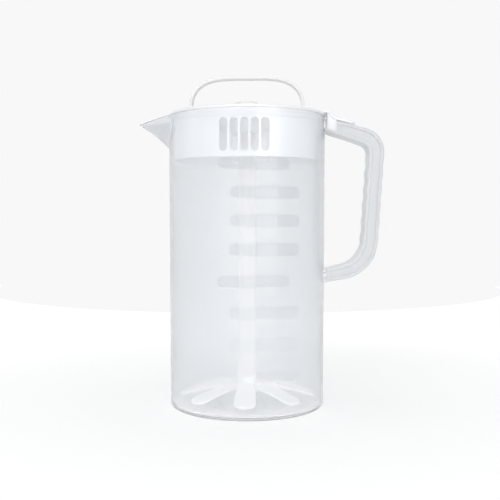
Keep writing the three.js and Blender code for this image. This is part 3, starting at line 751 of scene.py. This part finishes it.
def plunger_handle():
    """Strap between an outer and an inner outline of the loop, with rounded edges, joined to the socket
    that is turned about the axis."""
    outer = loop_outline(0, SOCKET_FOOT, LOOP_CORNER)
    inner = loop_outline(LOOP_T, SOCKET_FOOT + BAR_HIGH, EYE_CORNER)
    edge = np.radians(np.linspace(0, 90, 5))
    e, w = LOOP_EDGE, LOOP_D / 2
    thick = np.hypot(*(outer - inner).T)[:, None]
    inward = (inner - outer) / thick
    d_edge, y_edge = e - e * np.sin(edge), w - e + e * np.cos(edge)
    from_out = np.concatenate([d_edge, [0, 0, 0], d_edge[::-1]])
    y_out = np.concatenate([y_edge, [w / 2, 0, -w / 2], -y_edge[::-1]])
    d = np.concatenate([np.broadcast_to(from_out, (len(outer), len(from_out))), thick - from_out[::-1]], 1)
    y = np.broadcast_to(np.concatenate([y_out, y_out[::-1]]), d.shape)
    flat = outer[:, None, :] + inward[:, None, :] * d[..., None]
    loop = grid_mesh("plunger_loop", np.stack([flat[..., 0], y, flat[..., 1]], -1), wrap_u=True, wrap_v=True)
    face_outwards(loop)
    top = SOCKET_FOOT + SOCKET_HIGH
    lip = SOCKET_R - SOCKET_LIP_W
    profile = [
        [[0, SOCKET_FOOT], [SOCKET_R, SOCKET_FOOT]],
        arc(SOCKET_R - e, top - e, e, 0, 90),
        arc(lip, top + SOCKET_LIP_LIFT, SOCKET_LIP_R, -90, -120, 2),
        [[lip - SOCKET_LIP_R, top - SOCKET_DISH], [0, top - SOCKET_DISH]],
    ]
    return smooth(carve(loop, ("UNION", revolve("socket", profile, 96))))


def paddle(turn):
    """Blade over its length u and its section v: the top falls as the square of the way out and is
    dished across, the plan widens outwards and ends in round corners, and the rim is rounded."""
    reach_end = outer_r(PADDLE_TIP_Z) - WALL - PADDLE_TIP_GAP
    straight = reach_end - PADDLE_CORNER
    bend = np.radians(np.linspace(0, 90, 11))[1:]
    leg = np.linspace(HUB_R / 2, straight, 25)
    reach = np.concatenate([leg, straight + PADDLE_CORNER * np.sin(bend)])
    shrink = np.concatenate([0 * leg, PADDLE_CORNER * (1 - np.cos(bend))])
    half_w = (PADDLE_ROOT_W + (PADDLE_TIP_W - PADDLE_ROOT_W) * reach / reach_end) / 2 - shrink
    out = np.clip((reach - HUB_R) / (reach_end - HUB_R), 0, 1)
    top = PADDLE_ROOT_Z + (PADDLE_TIP_Z - PADDLE_ROOT_Z) * out ** 2
    edge = np.radians(np.linspace(90, -90, 9))
    across = np.linspace(-1, 1, 13)[1:-1]
    flat, side = np.ones_like(across), np.ones_like(edge)
    y_unit = np.concatenate([across, side, -across, -side])
    bulge = np.concatenate([0 * flat, np.cos(edge), 0 * flat, -np.cos(edge)])
    level = np.concatenate([flat, np.sin(edge), -flat, -np.sin(edge)])
    core = half_w - PADDLE_T / 2 * np.clip(half_w / PADDLE_EDGE_W, 0, 1)
    y = core[:, None] * y_unit + (half_w - core)[:, None] * bulge
    dish = PADDLE_DISH * (1 - y_unit ** 2) * np.clip(2 * half_w / PADDLE_TIP_W, 0, 1)[:, None]
    thin = np.concatenate([np.ones(len(reach) - len(PADDLE_TIP_THIN)), PADDLE_TIP_THIN])[:, None]
    z = top[:, None] - dish - PADDLE_T / 2 + PADDLE_T / 2 * level * thin
    x = reach[:, None] + 0 * y
    cos, sin = math.cos(turn), math.sin(turn)
    points = np.stack([x * cos - y * sin, x * sin + y * cos, z], -1)
    return face_outwards(grid_mesh("paddle", points, wrap_v=True, caps=True))


def stirrer():
    """Hub turned about the axis, with a rounded foot and a shallow dish on top, joined with its blades at
    equal angles."""
    top, lip = HUB_FOOT + HUB_HIGH, HUB_R - HUB_LIP_W
    profile = [
        [[0, HUB_FOOT]],
        arc(HUB_R - HUB_HEM, HUB_FOOT + HUB_HEM, HUB_HEM, -90, 0),
        arc(HUB_R - HUB_EDGE, top - HUB_EDGE, HUB_EDGE, 0, 90),
        [[lip, top], [lip - 0.3, top - HUB_DISH], [0, top - HUB_DISH]],
    ]
    hub = revolve("stirrer_star", profile, 96)
    blades = [("UNION", paddle(2 * np.pi * k / PADDLES)) for k in range(PADDLES)]
    return smooth(carve(hub, *blades))


# ---- materials ----

def shader_group(name, inputs, outputs):
    """Empty node group with float inputs (name, default) and outputs."""
    group = bpy.data.node_groups.new(name, "ShaderNodeTree")
    for label, default in inputs:
        socket = group.interface.new_socket(label, in_out="INPUT", socket_type="NodeSocketFloat")
        socket.default_value = default
    for label in outputs:
        group.interface.new_socket(label, in_out="OUTPUT", socket_type="NodeSocketFloat")
    nodes = group.nodes
    return group, nodes.new("NodeGroupInput"), nodes.new("NodeGroupOutput")


def moulded_skin_group():
    """Fine moulded texture over Object coordinates: a tight grain for the bump, and slow flow marks that
    shift tone and gloss a little."""
    group, given, result = shader_group(
        "moulded_skin", [("Grain Scale", 900.0), ("Flow Scale", 30.0)], ["Grain", "Flow"])
    nodes, links = group.nodes, group.links
    place = nodes.new("ShaderNodeTexCoord")
    grain = nodes.new("ShaderNodeTexNoise")
    grain.inputs["Detail"].default_value = 3
    flow = nodes.new("ShaderNodeTexNoise")
    flow.inputs["Detail"].default_value = 2
    flow.inputs["Distortion"].default_value = 0.6
    links.new(place.outputs["Object"], grain.inputs["Vector"])
    links.new(place.outputs["Object"], flow.inputs["Vector"])
    links.new(given.outputs["Grain Scale"], grain.inputs["Scale"])
    links.new(given.outputs["Flow Scale"], flow.inputs["Scale"])
    links.new(grain.outputs["Fac"], result.inputs["Grain"])
    links.new(flow.outputs["Fac"], result.inputs["Flow"])
    return group


SKIN = moulded_skin_group()


def plastic(name, light, dark, rough, rough_spread, grain_scale, bump, **values):
    """Plastic whose tone and gloss drift with the flow marks and whose surface carries the fine grain."""
    material = bpy.data.materials.new(name)
    material.use_nodes = True
    nodes, links = material.node_tree.nodes, material.node_tree.links
    shader = nodes["Principled BSDF"]
    skin = nodes.new("ShaderNodeGroup")
    skin.node_tree = SKIN
    skin.inputs["Grain Scale"].default_value = grain_scale
    tone = nodes.new("ShaderNodeMix")
    tone.data_type = "RGBA"
    tone.inputs["A"].default_value = (*dark, 1)
    tone.inputs["B"].default_value = (*light, 1)
    links.new(skin.outputs["Flow"], tone.inputs["Factor"])
    links.new(tone.outputs["Result"], shader.inputs["Base Color"])
    gloss = nodes.new("ShaderNodeMapRange")
    gloss.inputs["To Min"].default_value = rough - rough_spread
    gloss.inputs["To Max"].default_value = rough + rough_spread
    links.new(skin.outputs["Flow"], gloss.inputs["Value"])
    links.new(gloss.outputs["Result"], shader.inputs["Roughness"])
    relief = nodes.new("ShaderNodeBump")
    relief.inputs["Strength"].default_value = bump
    relief.inputs["Distance"].default_value = GRAIN_DEEP
    links.new(skin.outputs["Grain"], relief.inputs["Height"])
    links.new(relief.outputs["Normal"], shader.inputs["Normal"])
    for label, value in values.items():
        shader.inputs[label.replace("_", " ")].default_value = value
    return material


def let_light_in(material, share):
    """Shadow rays pass the piece, dimmed to the share, so the lamps light what stands behind or in it."""
    nodes, links = material.node_tree.nodes, material.node_tree.links
    path = nodes.new("ShaderNodeLightPath")
    through = nodes.new("ShaderNodeBsdfTransparent")
    through.inputs["Color"].default_value = (share, share, share, 1)
    pick = nodes.new("ShaderNodeMixShader")
    links.new(path.outputs["Is Shadow Ray"], pick.inputs[0])
    links.new(nodes["Principled BSDF"].outputs[0], pick.inputs[1])
    links.new(through.outputs[0], pick.inputs[2])
    links.new(pick.outputs[0], nodes["Material Output"].inputs["Surface"])
    return material


def frosted_wall():
    """Frosted clear plastic, milky and rough. Shares that the mesh carries turn it smoother, paler (painted
    light at the foot and the rim) and greyer (painted shade in the windows, and a grey tint on the spout)."""
    material = plastic("frosted_polypropylene", (0.866, 0.88, 0.895), (0.842, 0.857, 0.876), 0.22, 0.02,
                       1400.0, 0.05, IOR=1.33, Transmission_Weight=0.83)
    nodes, links = material.node_tree.nodes, material.node_tree.links
    shader = nodes["Principled BSDF"]
    # The paler share paints light into the base colour; the greyer share paints shade into the windows and
    # tints the spout grey.
    for label, share, kind, goal in (("Roughness", "sheen", "FLOAT", 0.06),
                                     ("Base Color", "painted_light", "RGBA", (0.93, 0.94, 0.95, 1)),
                                     ("Base Color", "grey_and_painted_shade", "RGBA", (0.735, 0.757, 0.783, 1))):
        given = shader.inputs[label].links[0].from_socket
        amount = nodes.new("ShaderNodeAttribute")
        amount.attribute_name = share
        mix = nodes.new("ShaderNodeMix")
        mix.data_type = kind
        links.new(amount.outputs["Fac"], mix.inputs["Factor"])
        links.new(given, mix.inputs["A"])
        mix.inputs["B"].default_value = goal
        links.new(mix.outputs["Result"], shader.inputs[label])
    return let_light_in(material, 1.0)


def frosted_solid():
    """The same plastic in the handle, thick enough to look milky all through."""
    material = plastic("frosted_handle", (0.73, 0.745, 0.755), (0.69, 0.705, 0.715), 0.42, 0.04, 1400.0, 0.05,
                       IOR=1.45, Transmission_Weight=0.3, Subsurface_Weight=0.35, Subsurface_Scale=0.008,
                       Subsurface_Radius=(1.0, 1.0, 1.0))
    return let_light_in(material, 0.8)


def gloss_white(name, light, dark, rough=0.36, **values):
    """Opaque white plastic with a soft gloss, as the lid and the plunger have."""
    return plastic(name, light, dark, rough, 0.04, 700.0, 0.05, IOR=1.49, **values)


def dress(obj, *materials):
    """Gives the mesh these materials instead of its own. Each face keeps its number among them."""
    faces, slots = obj.data.polygons, obj.data.materials
    choice = np.zeros(len(faces), np.int32)
    faces.foreach_get("material_index", choice)
    slots.clear()
    for material in materials:
        slots.append(material)
    faces.foreach_set("material_index", np.minimum(choice, len(materials) - 1))
    return obj


# ---- the camera, the floor and the light ----

def stand_camera():
    """Camera at the photograph's place and lens: level, a little right of the front, with the picture
    shifted so that the axis and the horizon lie where the photograph has them."""
    camera = bpy.data.cameras.new("camera")
    camera.lens = FOCAL_PX / PHOTO * camera.sensor_width
    camera.shift_x = (PHOTO / 2 - AXIS_PX) / PHOTO
    camera.shift_y = -(PHOTO / 2 - HORIZON_PX) / PHOTO
    obj = bpy.data.objects.new("camera", camera)
    obj.location = (CAMERA_FAR * METRE * math.sin(CAMERA_ROUND), -CAMERA_FAR * METRE * math.cos(CAMERA_ROUND),
                    CAMERA_HIGH * METRE)
    obj.rotation_euler = (math.pi / 2, 0, CAMERA_ROUND)
    bpy.context.scene.collection.objects.link(obj)
    bpy.context.scene.camera = obj


def calculate(tree, kind, operation, *given):
    """Math node whose inputs are linked to the given sockets or set to the given values. Returns the
    node's result."""
    node = tree.nodes.new(kind)
    node.operation = operation
    for socket, value in zip(node.inputs, given):
        if isinstance(value, bpy.types.NodeSocket):
            tree.links.new(value, socket)
        else:
            socket.default_value = value
    return node.outputs["Value"]


def floor():
    """White table top whose own glow grows with the distance from the object: near the foot the glow is
    weaker, a painted shadow that deepens the real shadow there. Past a wide arc, and past the arc's centre
    line, it takes the backdrop's light grey."""
    mesh = bpy.data.meshes.new("table")
    r = TABLE_HALF
    mesh.from_pydata([(-r, -r, 0), (r, -r, 0), (r, r, 0), (-r, r, 0)], [], [(0, 1, 2, 3)])
    obj = bpy.data.objects.new("table", mesh)
    obj.location.z = TABLE_Z
    bpy.context.scene.collection.objects.link(obj)
    material = bpy.data.materials.new("table_white")
    material.use_nodes = True
    tree = material.node_tree
    nodes, links = tree.nodes, tree.links
    shader = nodes["Principled BSDF"]
    shader.inputs["Base Color"].default_value = TABLE_WHITE
    shader.inputs["Roughness"].default_value = 0.9
    shader.inputs["Specular IOR Level"].default_value = 0.0
    shader.inputs["Emission Color"].default_value = (1, 1, 1, 1)
    place = nodes.new("ShaderNodeTexCoord").outputs["Object"]
    # Painted shadow: the glow is weaker near the object.
    glow = nodes.new("ShaderNodeMapRange")
    glow.inputs["From Min"].default_value, glow.inputs["To Min"].default_value = GLOW_NEAR_PAINTED_SHADOW
    glow.inputs["From Max"].default_value, glow.inputs["To Max"].default_value = GLOW_FAR
    links.new(calculate(tree, "ShaderNodeVectorMath", "LENGTH", place), glow.inputs["Value"])
    links.new(glow.outputs["Result"], shader.inputs["Emission Strength"])
    split = nodes.new("ShaderNodeSeparateXYZ")
    links.new(place, split.inputs[0])
    from_centre = calculate(tree, "ShaderNodeVectorMath", "DISTANCE", place, ARC_CENTRE)
    in_arc = calculate(tree, "ShaderNodeMath", "LESS_THAN", from_centre, ARC_R)
    past = calculate(tree, "ShaderNodeMath", "GREATER_THAN", split.outputs["Y"], BACK_Y)
    grey = nodes.new("ShaderNodeEmission")
    grey.inputs["Color"].default_value = BACKDROP_GREY
    blend = nodes.new("ShaderNodeMixShader")
    links.new(calculate(tree, "ShaderNodeMath", "MAXIMUM", in_arc, past), blend.inputs[0])
    links.new(shader.outputs[0], blend.inputs[1])
    links.new(grey.outputs[0], blend.inputs[2])
    links.new(blend.outputs[0], nodes["Material Output"].inputs["Surface"])
    mesh.materials.append(material)


def light():
    """Soft studio light: an even world that the camera, gloss and clear plastic see as the backdrop's
    grey, and four broad disc lamps, high at the left, low at the right, behind and above."""
    world = bpy.data.worlds.new("studio")
    world.use_nodes = True
    tree = world.node_tree
    nodes, links = tree.nodes, tree.links
    ambient = nodes["Background"]
    ambient.inputs["Color"].default_value = ROOM_LIGHT
    ambient.inputs["Strength"].default_value = ROOM_STRENGTH
    seen = nodes.new("ShaderNodeBackground")
    seen.inputs["Color"].default_value = BACKDROP_GREY
    path = nodes.new("ShaderNodeLightPath")
    camera, gloss, clear = [path.outputs[f"Is {kind} Ray"] for kind in ("Camera", "Glossy", "Transmission")]
    either = calculate(tree, "ShaderNodeMath", "MAXIMUM", camera, gloss)
    any_of = calculate(tree, "ShaderNodeMath", "MAXIMUM", either, clear)
    pick = nodes.new("ShaderNodeMixShader")
    links.new(any_of, pick.inputs[0])
    links.new(ambient.outputs[0], pick.inputs[1])
    links.new(seen.outputs[0], pick.inputs[2])
    links.new(pick.outputs[0], nodes["World Output"].inputs["Surface"])
    bpy.context.scene.world = world
    for name, place, power, size in LAMPS:
        lamp = bpy.data.lights.new(name, "AREA")
        lamp.energy = power
        lamp.size = size
        lamp.shape = "DISK"
        obj = bpy.data.objects.new(name, lamp)
        obj.location = place
        aim = np.array(LAMP_AIM) - np.array(place)
        yaw = math.atan2(aim[1], aim[0]) - math.pi / 2
        obj.rotation_euler = (math.pi / 2 + math.atan2(aim[2], math.hypot(aim[0], aim[1])), 0, yaw)
        obj.visible_transmission = False
        obj.visible_glossy = name != "rear"
        bpy.context.scene.collection.objects.link(obj)


# ---- assembly ----

def mark_skin(obj):
    """Shares at each point of the joined skin, worked out from its place. Sheen: 1 in a graduation window,
    less on the inner face and at the foot. Greyer: in the windows, as painted shade of the dim inside, fading
    downwards, and on the spout. Paler: painted light at the foot, and less along the rim, lightening the
    shade seen through the wall there. The handle's faces, out past its root, take the second material."""
    mesh = obj.data
    place = np.zeros(len(mesh.vertices) * 3)
    mesh.vertices.foreach_get("co", place)
    x, y, z = place.reshape(-1, 3).T / METRE
    r = np.hypot(x, y)
    turn = np.arctan2(y, x)
    around = np.angle(np.exp(1j * (turn + np.pi / 2)))
    off_spout = np.angle(np.exp(1j * (turn - np.pi)))
    bore = np.maximum(outer_r(z) - WALL, spout_r(off_spout, z, SPOUT_WALL))
    inside = (r < bore + NEAR_BORE) & (z > FLOOR - NEAR_FLOOR)
    window = window_mask(around, z) * (np.abs(r - outer_r(z)) < NEAR_SKIN)
    # Painted shade: the windows grey more higher up, where the inside under the lid lies in shade.
    window_painted_shade = np.clip(share_of(z, *WINDOW_PAINTED_SHADE_Z), WINDOW_PAINTED_SHADE_LEAST, 1)
    spout = smoothstep((r - outer_r(z)) / SPOUT_GREY_RUN) * (x < 0)
    foot_sheen = FOOT_SHEEN * smoothstep(share_of(z, *FOOT_SHEEN_Z))
    # Painted light: paler at the foot and along the rim, lightening the shade seen through the wall.
    rim_painted_light = RIM_PAINTED_LIGHT * smoothstep(share_of(RIM_Z - z, *RIM_PAINTED_LIGHT_DROP))
    shares = {
        "sheen": np.maximum.reduce([window, INNER_SHEEN * inside, foot_sheen]),
        "grey_and_painted_shade": np.maximum(window * window_painted_shade, SPOUT_GREY * spout),
        "painted_light": np.maximum(smoothstep(share_of(z, *PAINTED_LIGHT_FOOT_Z)), rim_painted_light),
    }
    for name, values in shares.items():
        attribute = mesh.attributes.new(name, "FLOAT", "POINT")
        attribute.data.foreach_set("value", values.astype(np.float32))
    centre = np.zeros(len(mesh.polygons) * 3)
    mesh.polygons.foreach_get("center", centre)
    x, y, z = centre.reshape(-1, 3).T / METRE
    mesh.polygons.foreach_set("material_index", ((np.hypot(x, y) > KEY_IN - KEY_GAP) & (x > 0)).astype(int))
    return obj


def body_moulding():
    """Vessel, spout and handle in one skin, with the key's arc-shaped slot cut into the handle's root."""
    bar = carve(handle(), ("DIFFERENCE", key_sector("key_slot", KEY_GAP, HANDLE_W)))
    skin = carve(vessel(), ("UNION", bar))
    skin.name = "pitcher_moulding"
    return smooth(mark_skin(skin), sharp_deg=40)


def settle(obj, body, slot, *nodes):
    """The piece moves with the body and stands for the CAD nodes, which it hides. The slot is not used."""
    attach(obj, body)
    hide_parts(*nodes)


stand_camera()
floor()
light()

wall_frost = frosted_wall()
handle_frost = frosted_solid()
MILKY = {"Subsurface_Weight": 0.25, "Subsurface_Scale": 0.004, "Subsurface_Radius": (1.0, 1.0, 1.0)}
lid_white = gloss_white("lid_white", (0.842, 0.852, 0.867), (0.822, 0.832, 0.847), rough=0.34, **MILKY)
loop_white = gloss_white("plunger_white", (0.83, 0.822, 0.807), (0.805, 0.797, 0.783))
# Painted light: the shaft and, most of all, the stirrer take lighter copies of the plunger's white than the
# loop, standing in for the light inside the vessel.
shaft_white_painted_light = gloss_white("shaft_white_painted_light", (0.905, 0.9, 0.89), (0.885, 0.88, 0.87))
star_white_painted_light = gloss_white("stirrer_white_painted_light", (0.975, 0.97, 0.96), (0.955, 0.95, 0.94), **MILKY)
silicone = plastic("silicone", (0.90, 0.915, 0.93), (0.87, 0.885, 0.90), 0.62, 0.05, 1200.0, 0.12, IOR=1.41)

settle(dress(body_moulding(), wall_frost, handle_frost), "pitcher", "frosted_clear", "pitcher_body")
settle(dress(lid(), let_light_in(lid_white, 0.75)), "lid_cover", "lid_white", "lid")
settle(dress(gasket(), silicone), "lid_ring", "soft_white", "lid_gasket")
settle(dress(plunger_handle(), loop_white), "plunger", "plunger_white", "plunger_handle")
settle(dress(stirrer(), let_light_in(star_white_painted_light, 0.5)), "plunger", "plunger_white", "stirrer")
dress(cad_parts["plunger_shaft"], let_light_in(shaft_white_painted_light, 0.6))
dress(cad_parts["shaft_grommet"], silicone)

bpy.context.scene.view_settings.view_transform = "Standard"
